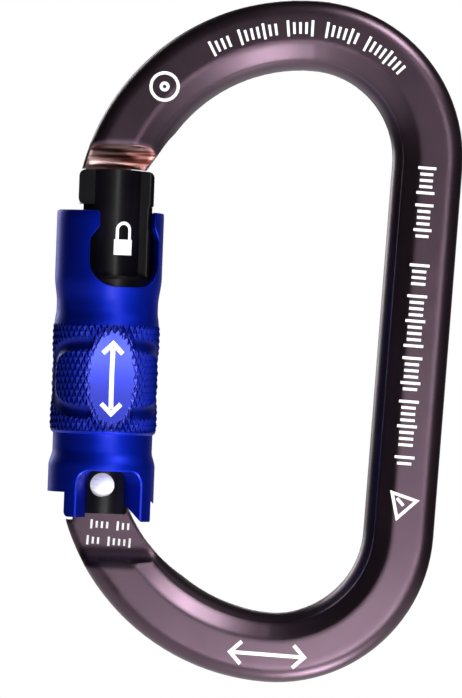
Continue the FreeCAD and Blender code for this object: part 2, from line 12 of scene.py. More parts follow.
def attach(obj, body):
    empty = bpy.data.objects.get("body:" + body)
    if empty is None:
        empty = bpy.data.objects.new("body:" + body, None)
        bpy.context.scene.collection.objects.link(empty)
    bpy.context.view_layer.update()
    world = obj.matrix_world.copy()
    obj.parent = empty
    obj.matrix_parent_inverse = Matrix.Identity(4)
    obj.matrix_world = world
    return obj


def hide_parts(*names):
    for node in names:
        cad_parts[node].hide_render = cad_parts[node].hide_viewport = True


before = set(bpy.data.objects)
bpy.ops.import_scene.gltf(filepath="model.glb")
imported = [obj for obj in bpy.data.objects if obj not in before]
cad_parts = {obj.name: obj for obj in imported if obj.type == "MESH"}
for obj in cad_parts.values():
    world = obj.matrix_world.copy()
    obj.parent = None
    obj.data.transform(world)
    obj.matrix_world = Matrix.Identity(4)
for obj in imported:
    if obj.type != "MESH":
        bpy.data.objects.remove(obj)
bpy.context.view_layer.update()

MM = 0.001

# ---- the lock frame, as in the CAD model ----
AXIS_FOOT = Vector((-28.9, 0.0, -69.3)) * MM
AXIS_LEAN = math.radians(-2.4)
LOCK = Matrix.Translation(AXIS_FOOT) @ Matrix.Rotation(AXIS_LEAN, 4, "Y")

# ---- the sleeve, in millimetres ----
SKIRT_R_MM = 8.6
LOWER_WAIST_R_MM = 8.05
BAND_R_MM = 8.7
UPPER_WAIST_R_MM = 8.2
COLLAR_R_MM = 8.65
BORE_MM = 5.2
WIDE_BORE_MM = 7.3
STEP_MM = 8.4
SLEEVE_TOP_MM = 44.2
SLEEVE_BOTTOM_MM = -6.2
BAND_BOTTOM_MM = 8.6
BAND_TOP_MM = 25.9
BAND_MIDDLE_MM = 17.2
SKIRT_TAPER_MM = (3.0, 5.5)
BAND_RAMP_START_MM = 8.15
BAND_RAMP_END_MM = 28.1
COLLAR_TAPER_MM = (29.2, 33.6)
RIM_ROUND_MM = 0.4
BORE_EDGE_MM = 0.15

# Rings of points on the turned parts: from a height, to a height, and how many.
SKIRT_RINGS = ((SLEEVE_BOTTOM_MM, 2.8, 6), (2.8, 5.6, 8), (5.6, 8.1, 3), (8.1, BAND_BOTTOM_MM, 5))
COLLAR_RINGS = (
    (BAND_TOP_MM, 28.2, 10), (28.2, 29.1, 2), (29.1, 33.8, 12), (33.8, SLEEVE_TOP_MM - RIM_ROUND_MM, 8),
)

# ---- the knurl ----
DIAMONDS_ROUND = 52
DIAMOND_LENGTH_MM = 2.1
DIAMOND_DEPTH_MM = 0.30
BAND_EDGE_DROP_MM = 0.25
BAND_EDGE_FADE_MM = 0.55
STEPS_PER_DIAMOND = 8
COLUMNS = DIAMONDS_ROUND * STEPS_PER_DIAMOND

# ---- the facets and the scoops, with directions in degrees from the front towards the spine ----
FACET_CENTRE = 9.4
FACET_HALF_WIDTH_MM = 4.2
FACET_HALF_LENGTH_MM = 8.4
FACET_REACH = 40.0
SCOOP_HALF_WIDTH_MM = 12.7
SCOOP_HALF_LENGTH_MM = 5.6
SCOOP_POWER = 3.2
SCOOP_END_MM = 4.3
SCOOP_REACH_MM = 1.35
SCOOP_DEPTH_MM = 0.55

# ---- the windows and the sleeve's lower end ----
# What is cut there runs between two directions. ENDS are the heights of its slanted face, at the bore
# and at the skirt.
KEYHOLE_CENTRE = 24.3
KEYHOLE_HALF_MM = 6.6
KEYHOLE_NECK_HALF_MM = 5.06
KEYHOLE_BOTTOM_MM = 32.0
KEYHOLE_SHOULDER_MM = 39.4
KEYHOLE_THROAT_MM = 42.0
KEYHOLE_CORNER_MM = (4.6, 4.2)
KEYHOLE_MOUTH_MM = 43.5
KEYHOLE_MOUTH_CORNER_MM = (0.8, 0.7)
ARCH_CENTRE = 12.0
ARCH_HALF_MM = 5.78
ARCH_TOP_MM = 2.3
ARCH_CORNER_MM = 2.35
WINDOW_FLARE_MM = 0.2
LEFT_LUG_START = -42.0
LEFT_LUG_END = -20.0
LEFT_LUG_CORNER = 6.0
RIGHT_LUG_START = 40.0
REAR_START = 125.0
LEFT_LUG_ENDS_MM = (-5.25, -5.25)
RIGHT_LUG_ENDS_MM = (-3.0, -5.7)
REAR_ENDS_MM = (0.7, -1.3)
TANG_SLOT_ENDS_MM = (0.5, -2.8)
TANG_SLOT_HALF_MM = 2.85
RING_OVERLAP = 3.0
CUTTER_ACROSS = 24
CUTTER_MARGIN_MM = 0.3
CUTTER_OUTSIDE_MM = 3.0
CUTTER_INSIDE_MM = 2.5
CUTTER_PARALLEL_SHARE = 0.74
BELOW_SLEEVE_MM = -12.0
ABOVE_SLEEVE_MM = 49.0
SMOOTH_ANGLE = 28.0

# ---- the body, the gate and the print on them ----
BODY_HALF_MM = 5.5
PAD_HALF_MM = 2.5
GATE_R_MM = 5.1
NOSE_SCOOP_R_MM = 3.7
NOSE_SCOOP_Y_MM = 5.6
NOSE_SCOOP_Z_MM = 51.15
NOSE_END_X_MM = 15.0
PRINT_PROUD_MM = 0.03
PRINT_ROOT_MM = 0.05
PRINT_STEP_MM = 0.4
PRINT_MITRE_LIMIT = 0.4
BOW_PITCH_MM = 0.98
BOW_TICK_MM = (2.6, 0.42)
SPINE_PITCH_MM = 1.0
PAD_PITCH_MM = 0.85
PAD_TICK_MM = (1.5, 0.35)
SHORT_TICK_SHARE = 0.36
FIGURE_WIDTH_MM = 0.5

# ---- the stage and the view ----
FLOOR_Z = -0.56
FLOOR_RADIUS = 1.6
FLOOR_WASH_LIFT = 0.36
BACKDROP_TONES = [(0.0, (0.012, 0.012, 0.012)), (0.6, (0.03, 0.03, 0.03)), (0.98, (0.07, 0.07, 0.07))]
VIEW_CENTRE = Vector((-9.63, 0.0, -45.8)) * MM
VIEW_ROLL = math.radians(4.5)
VIEW_DISTANCE = 1.2
VIEW_HEIGHT = 0.1129

# Soft boxes: name, azimuth, elevation, distance, width, height, power, and the aim where it is off centre.
LOW_FRONT_AIM_MM = (12, 0, -62)
SOFT_BOXES = (
    ("key", 22, 3, 0.60, 0.07, 0.42, 0.80),
    ("low_front", 6, -8, 0.40, 0.10, 0.07, 0.60, LOW_FRONT_AIM_MM),
    ("below", 38, -60, 0.50, 0.16, 0.10, 2.0),
    ("top_right", 40, 48, 0.60, 0.16, 0.20, 3.0),
    ("left_rim", -148, 0, 0.50, 0.12, 0.60, 0.14),
    ("right_rim", 155, 5, 0.50, 0.08, 0.60, 0.07),
    ("back_left", 215, 18, 0.70, 0.20, 0.50, 1.2),
    ("back", 180, 10, 0.70, 0.12, 0.50, 1.0),
)

# ---- depths of the bump in the materials, in metres ----
GRAIN_DEPTH = 0.00002
SCRATCH_DEPTH = 0.00001


def new_object(name, mesh):
    piece = bpy.data.objects.new(name, mesh)
    bpy.context.scene.collection.objects.link(piece)
    return piece


def mesh_piece(name, points, faces):
    """An object of closed strips or prisms, with every face turned outwards."""
    mesh = bpy.data.meshes.new(name)
    mesh.from_pydata(points, [], faces)
    b = bmesh.new()
    b.from_mesh(mesh)
    bmesh.ops.triangulate(b, faces=[f for f in b.faces if len(f.verts) > 4])
    bmesh.ops.recalc_face_normals(b, faces=b.faces)
    b.to_mesh(mesh)
    b.free()
    return new_object(name, mesh)


def shade_by_angle(piece, degrees):
    """Smooth shading with sharp edges where faces meet at more than an angle."""
    mesh = piece.data
    b = bmesh.new()
    b.from_mesh(mesh)
    limit = math.radians(degrees)
    for face in b.faces:
        face.smooth = True
    for edge in b.edges:
        edge.smooth = len(edge.link_faces) == 2 and edge.calc_face_angle(0.0) < limit
    b.to_mesh(mesh)
    b.free()


def round_axis(radius, angle, height):
    """A point in the lock frame, in mm. The angle is in degrees from the front, towards the spine."""
    a = math.radians(angle)
    return Vector((radius * math.sin(a), -radius * math.cos(a), height))


# ---- the sleeve's outer surface ----
def smooth_step(edge0, edge1, x):
    t = min(max((x - edge0) / (edge1 - edge0), 0.0), 1.0)
    return t * t * (3 - 2 * t)


def turned_radius(h):
    """The sleeve's radius before the knurl, at a height."""
    r = SKIRT_R_MM
    r += (LOWER_WAIST_R_MM - SKIRT_R_MM) * smooth_step(*SKIRT_TAPER_MM, h)
    edge = BAND_R_MM - BAND_EDGE_DROP_MM
    r += (edge - LOWER_WAIST_R_MM) * smooth_step(BAND_RAMP_START_MM, BAND_BOTTOM_MM, h)
    r += (UPPER_WAIST_R_MM - edge) * smooth_step(BAND_TOP_MM, BAND_RAMP_END_MM, h)
    r += (COLLAR_R_MM - UPPER_WAIST_R_MM) * smooth_step(*COLLAR_TAPER_MM, h)
    return r


def wrap(angle):
    """The same direction, between -180 and 180 degrees."""
    return (angle + 180.0) % 360.0 - 180.0


def groove_distance(x):
    """Distance to the nearest whole number, doubled: 0 in a groove, 1 on a diamond's ridge."""
    return 2 * abs(x - round(x))


def diamond_height(angle, h):
    """0 in the grooves of two crossing helices, up to 1 on a diamond's top."""
    across = angle / 360.0 * DIAMONDS_ROUND
    along = (h - BAND_MIDDLE_MM) / DIAMOND_LENGTH_MM
    return min(groove_distance(across + along), groove_distance(across - along))


def scoop_depth(side, rise):
    """Depth of the smooth scoop round one facet, from its centre line's distance."""
    s, z = abs(side) / SCOOP_HALF_WIDTH_MM, abs(rise) / SCOOP_HALF_LENGTH_MM
    level = (s ** SCOOP_POWER + z ** SCOOP_POWER) ** (1 / SCOOP_POWER)
    if level < 1e-6:
        return 0.0
    ds = s ** (SCOOP_POWER - 1) / level ** (SCOOP_POWER - 1) / SCOOP_HALF_WIDTH_MM
    dz = z ** (SCOOP_POWER - 1) / level ** (SCOOP_POWER - 1) / SCOOP_HALF_LENGTH_MM
    distance = abs(level - 1) / max(math.hypot(ds, dz), 1e-6)
    if abs(side) < SCOOP_END_MM:
        distance = math.hypot(distance, SCOOP_END_MM - abs(side))
    reach = SCOOP_REACH_MM
    return SCOOP_DEPTH_MM * max(0.0, 1 - (distance / reach) ** 2)


def facet_distance(rise):
    """Distance of a facet from the axis. It is deepest in the middle, which makes its outline oval."""
    oval = max(0.0, 1 - (rise / FACET_HALF_LENGTH_MM) ** 2)
    return math.sqrt(BAND_R_MM ** 2 - FACET_HALF_WIDTH_MM ** 2 * oval)


def band_radius(angle, h):
    """The knurled band: raised diamonds, cut by two oval facets and by the scoops round them."""
    edge = min(h - BAND_BOTTOM_MM, BAND_TOP_MM - h)
    edge_fade = smooth_step(0.0, BAND_EDGE_FADE_MM, edge)
    r = BAND_R_MM - DIAMOND_DEPTH_MM * (1 - diamond_height(angle, h)) * edge_fade
    r -= BAND_EDGE_DROP_MM * (1 - edge_fade)
    for centre in (FACET_CENTRE, FACET_CENTRE + 180.0):
        turn = wrap(angle - centre)
        side = math.radians(turn) * BAND_R_MM
        rise = h - BAND_MIDDLE_MM
        depth = scoop_depth(side, rise)
        if depth > 0:
            r = min(r, BAND_R_MM - depth)
        if abs(turn) < FACET_REACH:
            r = min(r, facet_distance(rise) / math.cos(math.radians(turn)))
    return r


def heights():
    """Heights of the sleeve's rings, close together where the surface is fine."""
    def spread(stretches):
        rows = []
        for start, end, count in stretches:
            rows += [start + (end - start) * i / count for i in range(count)]
        return rows

    steps = STEPS_PER_DIAMOND * int((BAND_TOP_MM - BAND_BOTTOM_MM) / 2 / DIAMOND_LENGTH_MM)
    knurled = [
        BAND_MIDDLE_MM + k * DIAMOND_LENGTH_MM / STEPS_PER_DIAMOND for k in range(-steps, steps + 1)
    ]
    return (spread(SKIRT_RINGS) + [BAND_BOTTOM_MM] + knurled + spread(COLLAR_RINGS)
            + [SLEEVE_TOP_MM - RIM_ROUND_MM])


def sleeve_shell():
    """A closed tube: the outer surface, the rim, and the stepped bore.

    The knurled quads are split both ways, so that the diamonds' creases run along edges.
    """
    columns = COLUMNS
    outer = [(h, None) for h in heights()]
    inside = [
        (SLEEVE_TOP_MM - RIM_ROUND_MM * 0.3, COLLAR_R_MM - RIM_ROUND_MM * 0.3),
        (SLEEVE_TOP_MM, COLLAR_R_MM - RIM_ROUND_MM), (SLEEVE_TOP_MM, WIDE_BORE_MM + BORE_EDGE_MM),
        (SLEEVE_TOP_MM - BORE_EDGE_MM, WIDE_BORE_MM), (STEP_MM, WIDE_BORE_MM), (STEP_MM, BORE_MM),
        (SLEEVE_BOTTOM_MM, BORE_MM),
    ]
    points = []
    for h, radius in outer + inside:
        for c in range(columns):
            angle = 360.0 * c / columns
            r = radius
            if r is None and BAND_BOTTOM_MM < h < BAND_TOP_MM:
                r = band_radius(angle, h)
            elif r is None:
                r = turned_radius(h)
            points.append(round_axis(r, angle, h))
    rings = len(outer) + len(inside)
    faces = []
    for i in range(rings):
        j = (i + 1) % rings
        knurled = (0 < j < len(outer) and BAND_BOTTOM_MM <= outer[i][0]
                   and outer[j][0] <= BAND_TOP_MM)
        for c in range(columns):
            d = (c + 1) % columns
            quad = (i * columns + c, i * columns + d, j * columns + d, j * columns + c)
            if not knurled:
                faces.append(quad)
                continue
            height = (outer[i][0] + outer[j][0]) / 2
            angle = 360.0 * (c + 0.5) / columns
            middle = len(points)
            points.append(round_axis(band_radius(angle, height), angle, height))
            faces.extend((quad[k], quad[(k + 1) % 4], middle) for k in range(4))
    mesh = bpy.data.meshes.new("lock_sleeve_shell")
    mesh.from_pydata([p * MM for p in points], [], faces)
    mesh.update()
    return mesh


# ---- what is milled out of the sleeve ----
def push_out(side, distance):
    """Moves a window's right edge, a list of (side, height) points going up, outwards."""
    moved = []
    for i, (s, h) in enumerate(side):
        before, after = Vector(side[max(i - 1, 0)]), Vector(side[min(i + 1, len(side) - 1)])
        along = (after - before).normalized()
        moved.append((s + along.y * distance, h - along.x * distance))
    return moved


def window_cutter(name, side, centre, radius, parallel=False):
    """A prism through the wall, of which the right half's edge is given, with radial or parallel sides.

    Sideways lengths are measured round the sleeve at the radius. The flare leaves a bright edge.
    """
    across = CUTTER_ACROSS
    margin = CUTTER_MARGIN_MM
    flare = WINDOW_FLARE_MM
    wide = push_out(side, flare + margin)
    inner = radius * CUTTER_PARALLEL_SHARE if parallel else CUTTER_INSIDE_MM
    outer = radius + CUTTER_OUTSIDE_MM
    layers = [(inner, side), (radius - flare, side), (radius + margin, wide), (outer, wide)]
    rows = len(side)
    points = []
    for r, edge in layers:
        for s, h in edge:
            for k in range(across + 1):
                turn = (2 * k / across - 1) * s / radius
                if parallel:
                    turn = math.asin(min(max(radius / r * math.sin(turn), -0.99), 0.99))
                points.append(round_axis(r, centre + math.degrees(turn), h) * MM)
    size = across + 1

    def at(layer, row, column):
        return (layer * rows + row) * size + column

    faces = []
    for layer in (0, len(layers) - 1):
        for i in range(rows - 1):
            for k in range(across):
                faces.append((at(layer, i, k), at(layer, i, k + 1),
                              at(layer, i + 1, k + 1), at(layer, i + 1, k)))
    for layer in range(len(layers) - 1):
        for i in range(rows - 1):
            for k in (0, across):
                faces.append((at(layer, i, k), at(layer, i + 1, k),
                              at(layer + 1, i + 1, k), at(layer + 1, i, k)))
        for i in (0, rows - 1):
            for k in range(across):
                faces.append((at(layer, i, k), at(layer, i, k + 1),
                              at(layer + 1, i, k + 1), at(layer + 1, i, k)))
    return mesh_piece(name, points, faces)


def ring_cutter(name, profile, start, end, step=1.5, corner=0.0):
    """Sweeps (radius, height) corners round the axis, between two directions.

    It leaves a rounded corner, of a size in degrees, where the cutter before it ends.
    """
    count = max(2, int((end - start) / step))
    size = len(profile)
    points = []
    for i in range(count + 1):
        angle = start + (end - start) * i / count
        inset = min(max(1 - (angle - start - RING_OVERLAP) / corner, 0.0), 1.0) if corner else 0.0
        rise = math.radians(corner) * SKIRT_R_MM * (1 - math.sqrt(1 - inset ** 2))
        points.extend(round_axis(r, angle, h + rise) * MM for r, h in profile)
    faces = [tuple(range(size)), tuple(range(count * size + size - 1, count * size - 1, -1))]
    for i in range(count):
        for k in range(size):
            m = (k + 1) % size
            faces.append((i * size + k, (i + 1) * size + k, (i + 1) * size + m, i * size + m))
    return mesh_piece(name, points, faces)


def corner_points(centre, radius_s, radius_h, start, end, count=10):
    """Points on a quarter of an ellipse, from one angle to another in degrees."""
    angles = [math.radians(start + (end - start) * i / count) for i in range(count + 1)]
    return [(centre[0] + radius_s * math.cos(a), centre[1] + radius_h * math.sin(a)) for a in angles]


def keyhole_side():
    """Right edge of the round-bottomed window, which narrows to a neck open at the rim."""
    half, neck = KEYHOLE_HALF_MM, KEYHOLE_NECK_HALF_MM
    corner_s, corner_h = KEYHOLE_CORNER_MM
    edge = corner_points((half - corner_s, KEYHOLE_BOTTOM_MM + corner_h), corner_s, corner_h, -90, 0)
    steps = 8
    for step in range(steps + 1):
        edge.append((half - (half - neck) * smooth_step(0, steps, step),
                     KEYHOLE_SHOULDER_MM + (KEYHOLE_THROAT_MM - KEYHOLE_SHOULDER_MM) * step / steps))
    mouth_s, mouth_h = KEYHOLE_MOUTH_CORNER_MM
    edge += corner_points((neck + mouth_s, KEYHOLE_MOUTH_MM), -mouth_s, mouth_h, 0, 90, 6)
    edge.append((neck + mouth_s, ABOVE_SLEEVE_MM))
    return edge


def arch_side():
    """Right edge of the round-topped window, which is open at the skirt's end."""
    corner = ARCH_CORNER_MM
    centre = (ARCH_HALF_MM - corner, ARCH_TOP_MM - corner)
    return [(ARCH_HALF_MM, BELOW_SLEEVE_MM)] + corner_points(centre, corner, corner, 0, 90)


def sloped(ends, near=3.0, far=12.0):
    """The corners of what is cut below an end face, given its heights at the bore and at the skirt."""
    inner_end, outer_end = ends
    slope = (outer_end - inner_end) / (SKIRT_R_MM - BORE_MM)
    return [
        (near, inner_end + slope * (near - BORE_MM)), (near, BELOW_SLEEVE_MM), (far, BELOW_SLEEVE_MM),
        (far, inner_end + slope * (far - BORE_MM)),
    ]


def tang_slot_cutter():
    """A straight prism, on the spine's side, where the tang passes under the sleeve's end."""
    corners = sloped(TANG_SLOT_ENDS_MM)
    points = []
    for y in (-TANG_SLOT_HALF_MM, TANG_SLOT_HALF_MM):
        points.extend(Vector((r, y, h)) * MM for r, h in corners)
    faces = [(0, 1, 2, 3), (7, 6, 5, 4)]
    faces += [(k, (k + 1) % 4, (k + 1) % 4 + 4, k + 4) for k in range(4)]
    return mesh_piece("cut_tang_slot", points, faces)


def cut_sleeve(piece):
    """Mills the windows, the lugs and the tang slot out of the sleeve."""
    cutters = [
        window_cutter("cut_keyhole", keyhole_side(), KEYHOLE_CENTRE, COLLAR_R_MM, parallel=True),
        window_cutter("cut_arch", arch_side(), ARCH_CENTRE, SKIRT_R_MM),
        ring_cutter("cut_left_lug", sloped(LEFT_LUG_ENDS_MM), LEFT_LUG_START - RING_OVERLAP,
                    LEFT_LUG_END, step=0.7, corner=LEFT_LUG_CORNER),
        ring_cutter("cut_right_lug", sloped(RIGHT_LUG_ENDS_MM), RIGHT_LUG_START,
                    REAR_START + RING_OVERLAP),
        ring_cutter("cut_rear", sloped(REAR_ENDS_MM), REAR_START, 360 + LEFT_LUG_START),
        tang_slot_cutter(),
    ]
    for cutter in cutters:
        modifier = piece.modifiers.new(cutter.name, "BOOLEAN")
        modifier.operation = "DIFFERENCE"
        modifier.solver = "EXACT"
        modifier.object = cutter
    graph = bpy.context.evaluated_depsgraph_get()
    mesh = bpy.data.meshes.new_from_object(piece.evaluated_get(graph))
    piece.modifiers.clear()
    assert len(mesh.vertices) > COLUMNS, "the cuts left nothing of the sleeve"
    piece.data = mesh
    for cutter in cutters:
        bpy.data.objects.remove(cutter)


def make_sleeve(material):
    """The knurled sleeve, which stands for the plainer CAD one."""
    piece = new_object("blue_sleeve", sleeve_shell())
    cut_sleeve(piece)
    piece.data.transform(LOCK)
    piece.data.materials.clear()
    piece.data.materials.append(material)
    shade_by_angle(piece, SMOOTH_ANGLE)
    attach(piece, "sleeve")
    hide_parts("lock_sleeve")


# ---- printed marks ----
def densify(line, closed):
    """Adds points to a line, so that it can follow a curved surface."""
    points = []
    ends = line[1:] + line[:1] if closed else line[1:]
    for (u0, v0), (u1, v1) in zip(line, ends):
        count = max(1, math.ceil(math.hypot(u1 - u0, v1 - v0) / PRINT_STEP_MM))
        points += [(u0 + (u1 - u0) * i / count, v0 + (v1 - v0) * i / count) for i in range(count)]
    return points if closed else points + [line[-1]]


def stroke(place, line, width, closed=False):
    """One printed line: the points and faces of a thin strip that follows the surface."""
    section = ((1, PRINT_PROUD_MM), (-1, PRINT_PROUD_MM), (-1, -PRINT_ROOT_MM), (1, -PRINT_ROOT_MM))
    flat = [Vector(p) for p in densify(line, closed)]
    count = len(flat)
    points = []
    for i, point in enumerate(flat):
        before = flat[i - 1] if closed or i > 0 else point
        after = flat[(i + 1) % count] if closed or i < count - 1 else point
        legs = [leg.normalized() for leg in (point - before, after - point) if leg.length > 0]
        along = sum(legs, Vector((0, 0))).normalized()
        across = Vector((-along.y, along.x)) * (width / 2 / max(along.dot(legs[0]), PRINT_MITRE_LIMIT))
        for side, height in section:
            edge = point + across * side
            points.append(place(edge.x, edge.y, height) * MM)
    faces = []
    for i in range(count if closed else count - 1):
        j = (i + 1) % count
        for k in range(4):
            m = (k + 1) % 4
            faces.append((i * 4 + k, j * 4 + k, j * 4 + m, i * 4 + m))
    if not closed:
        last = (count - 1) * 4
        faces += [(3, 2, 1, 0), (last, last + 1, last + 2, last + 3)]
    return points, faces


def on_face(x, z, turn, y=-BODY_HALF_MM):
    """A place on a flat of the body's front, with the reading direction turned by some degrees."""
    c, s = math.cos(math.radians(turn)), math.sin(math.radians(turn))
    return lambda u, v, w: Vector((x + u * c - v * s, y - w, z + u * s + v * c))


def on_bow(centre_z, radius, middle):
    """A place on the flat of a bow, on an arc round (0, centre_z)."""
    def place(u, v, w):
        a = math.radians(middle) - u / radius
        reach = radius + v
        return Vector((reach * math.cos(a), -BODY_HALF_MM - w, centre_z + reach * math.sin(a)))

    return place


def on_gate(angle, height):
    """A place on the gate's round stem."""
    def place(u, v, w):
        turn = angle + math.degrees(u / GATE_R_MM)
        return (LOCK @ (round_axis(GATE_R_MM + w, turn, height + v) * MM)) / MM

    return place


def on_facet(height):
    """A place on the sleeve's front facet."""
    right = round_axis(1.0, FACET_CENTRE + 90.0, 0.0)

    def place(u, v, w):
        distance = facet_distance(height + v - BAND_MIDDLE_MM) + w
        return (LOCK @ ((round_axis(distance, FACET_CENTRE, height + v) + right * u) * MM)) / MM

    return place


def ticks(place, groups, pitch, height, width):
    """Rows of upright ticks like those of a scale, of which every fourth is tall."""
    total = pitch * (sum(groups) + len(groups) - 2)
    u = -total / 2
    strokes = []
    for count in groups:
        for i in range(count):
            half = height / 2 if i % 4 == 0 else height * SHORT_TICK_SHARE
            strokes.append(stroke(place, [(u, -half), (u, half)], width))
            u += pitch
        u += pitch
    return strokes


def circle(radius, count=32):
    """Points round a circle, which is closed by its stroke."""
    angles = [2 * math.pi * i / count for i in range(count)]
    return [(radius * math.cos(a), radius * math.sin(a)) for a in angles]


def target_mark(place, radius, width):
    """A small ring in a larger one."""
    return [stroke(place, circle(radius * size), width, closed=True) for size in (0.25, 1.0)]


def triangle_mark(place, side, width):
    """An even triangle with an upright stroke in it."""
    low = -side * math.sqrt(3) / 6
    corners = [(-side / 2, low), (side / 2, low), (0, -2 * low)]
    upright = [(0, low * 0.3), (0, -low)]
    return [stroke(place, corners, width, closed=True), stroke(place, upright, width)]


def double_arrow(place, length, head, width):
    """An arrow along v with a head at either end."""
    end = length / 2
    strokes = [stroke(place, [(0, -end + width), (0, end - width)], width)]
    for side in (1, -1):
        foot = side * (end - head / 2)
        barb = [(-head / 2, foot), (0, side * end), (head / 2, foot)]
        strokes.append(stroke(place, barb, width))
    return strokes


def padlock_mark(place):
    """The common sign for locked: a block with a round shackle over it."""
    radius, bend, foot = 1.1, 1.3, -0.3
    half, middle, thickness = 1.6, -1.5, 2.5
    angles = [math.radians(a) for a in range(0, 181, 15)]
    arc = [(radius * math.cos(a), bend + radius * math.sin(a)) for a in angles]
    shackle = [(radius, foot)] + arc + [(-radius, foot)]
    block = [(-half, middle), (half, middle)]
    return [stroke(place, block, thickness), stroke(place, shackle, FIGURE_WIDTH_MM)]


def print_piece(name, strokes, body, material):
    """Joins strokes into one piece of print that rides on a body."""
    points, faces = [], []
    for more_points, more_faces in strokes:
        faces += [tuple(len(points) + v for v in face) for face in more_faces]
        points += more_points
    piece = mesh_piece(name, points, faces)
    piece.data.materials.append(material)
    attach(piece, body)


def make_prints(material):
    """Plain marks where the object is printed: scales, arrows, simple figures and a padlock sign."""
    gate_bow = on_bow(centre_z=-25.2, radius=31.9, middle=106.0)
    spine_bow = on_bow(centre_z=-14.0, radius=20.7, middle=66.0)
    upper_spine, middle_spine = on_face(19.6, -19.8, -90), on_face(19.6, -46.0, -90)
    pad_top = on_face(-26.9, -75.7, 0, -PAD_HALF_MM)
    pad_bottom = on_face(-26.9, -78.3, 0, -PAD_HALF_MM)
    strokes = ticks(gate_bow, (4, 7, 5), BOW_PITCH_MM, *BOW_TICK_MM)
    strokes += ticks(spine_bow, (6, 8), BOW_PITCH_MM, *BOW_TICK_MM)
    strokes += target_mark(on_face(-23.6, -4.5, 50), radius=2.2, width=FIGURE_WIDTH_MM)
    strokes += ticks(upper_spine, (5, 6), SPINE_PITCH_MM, height=2.9, width=0.45)
    strokes += ticks(middle_spine, (4, 9, 6, 8, 2), SPINE_PITCH_MM, height=3.2, width=0.45)
    strokes += triangle_mark(on_face(19.75, -68.5, 45), side=4.2, width=FIGURE_WIDTH_MM)
    strokes += double_arrow(on_face(0, -94.4, 90), length=12.0, head=3.6, width=0.6)
    strokes += ticks(pad_top, (4, 3), PAD_PITCH_MM, *PAD_TICK_MM)
    strokes += ticks(pad_bottom, (3, 5), PAD_PITCH_MM, *PAD_TICK_MM)
    sleeve_arrow = double_arrow(on_facet(BAND_MIDDLE_MM), length=11.3, head=3.2, width=0.75)
    print_piece("body_print", strokes, "body", material)
    print_piece("gate_print", padlock_mark(on_gate(26.6, 39.9)), "gate", material)
    print_piece("sleeve_print", sleeve_arrow, "sleeve", material)


# ---- materials ----
def material_nodes(name):
    material = bpy.data.materials.new(name)
    material.use_nodes = True
    tree = material.node_tree
    shader = tree.nodes["Principled BSDF"]
    return material, tree, shader


def add_node(tree, kind, **values):
    node = tree.nodes.new(kind)
    for key, value in values.items():
        setattr(node, key, value)
    return node


def noise(tree, vector, scale, detail=3.0):
    node = add_node(tree, "ShaderNodeTexNoise")
    node.inputs["Scale"].default_value = scale
    node.inputs["Detail"].default_value = detail
    tree.links.new(vector, node.inputs["Vector"])
    return node.outputs["Fac"]


def ramp(tree, fac, stops):
    node = add_node(tree, "ShaderNodeValToRGB")
    elements = node.color_ramp.elements
    while len(elements) < len(stops):
        elements.new(0.5)
    for element, (position, colour) in zip(elements, stops):
        element.position = position
        element.color = (*colour, 1.0)
    tree.links.new(fac, node.inputs["Fac"])
    return node.outputs["Color"]


def map_range(tree, fac, low, high):
    node = add_node(tree, "ShaderNodeMapRange")
    node.inputs["To Min"].default_value = low
    node.inputs["To Max"].default_value = high
    tree.links.new(fac, node.inputs["Value"])
    return node.outputs["Result"]


def bump(tree, height, strength, distance, normal=None):
    node = add_node(tree, "ShaderNodeBump")
    node.inputs["Strength"].default_value = strength
    node.inputs["Distance"].default_value = distance
    tree.links.new(height, node.inputs["Height"])
    if normal is not None:
        tree.links.new(normal, node.inputs["Normal"])
    return node.outputs["Normal"]


def object_position(tree, rotation=(0, 0, 0), scale=(1, 1, 1), location=(0, 0, 0)):
    coordinates = add_node(tree, "ShaderNodeTexCoord")
    mapping = add_node(tree, "ShaderNodeMapping")
    mapping.inputs["Location"].default_value = location
    mapping.inputs["Rotation"].default_value = rotation
    mapping.inputs["Scale"].default_value = scale
    tree.links.new(coordinates.outputs["Object"], mapping.inputs["Vector"])
    return mapping.outputs["Vector"]


def lock_position(tree, turn=0.0, scale=(1, 1, 1)):
    """Coordinates in the lock frame, turned round its axis so that -Y is at an angle in degrees."""
    rotation = (Matrix.Rotation(-math.radians(turn), 3, "Z") @ LOCK.to_3x3().inverted())
    location = -(rotation @ AXIS_FOOT)
    moved = object_position(tree, rotation=rotation.to_euler(), location=location)
    mapping = add_node(tree, "ShaderNodeMapping")
    mapping.inputs["Scale"].default_value = scale
    tree.links.new(moved, mapping.inputs["Vector"])
    return mapping.outputs["Vector"]


def maths(tree, operation, a, b=0.0):
    node = add_node(tree, "ShaderNodeMath", operation=operation)
    for value, socket in zip((a, b), node.inputs):
        if isinstance(value, (int, float)):
            socket.default_value = value
        else:
            tree.links.new(value, socket)
    return node.outputs["Value"]


def separate(tree, vector):
    node = add_node(tree, "ShaderNodeSeparateXYZ")
    tree.links.new(vector, node.inputs["Vector"])
    return node.outputs


def mix_colours(tree, fac, first, second):
    node = add_node(tree, "ShaderNodeMix", data_type="RGBA")
    for value, socket in ((fac, node.inputs[0]), (first, node.inputs[6]), (second, node.inputs[7])):
        tree.links.new(value, socket)
    return node.outputs[2]


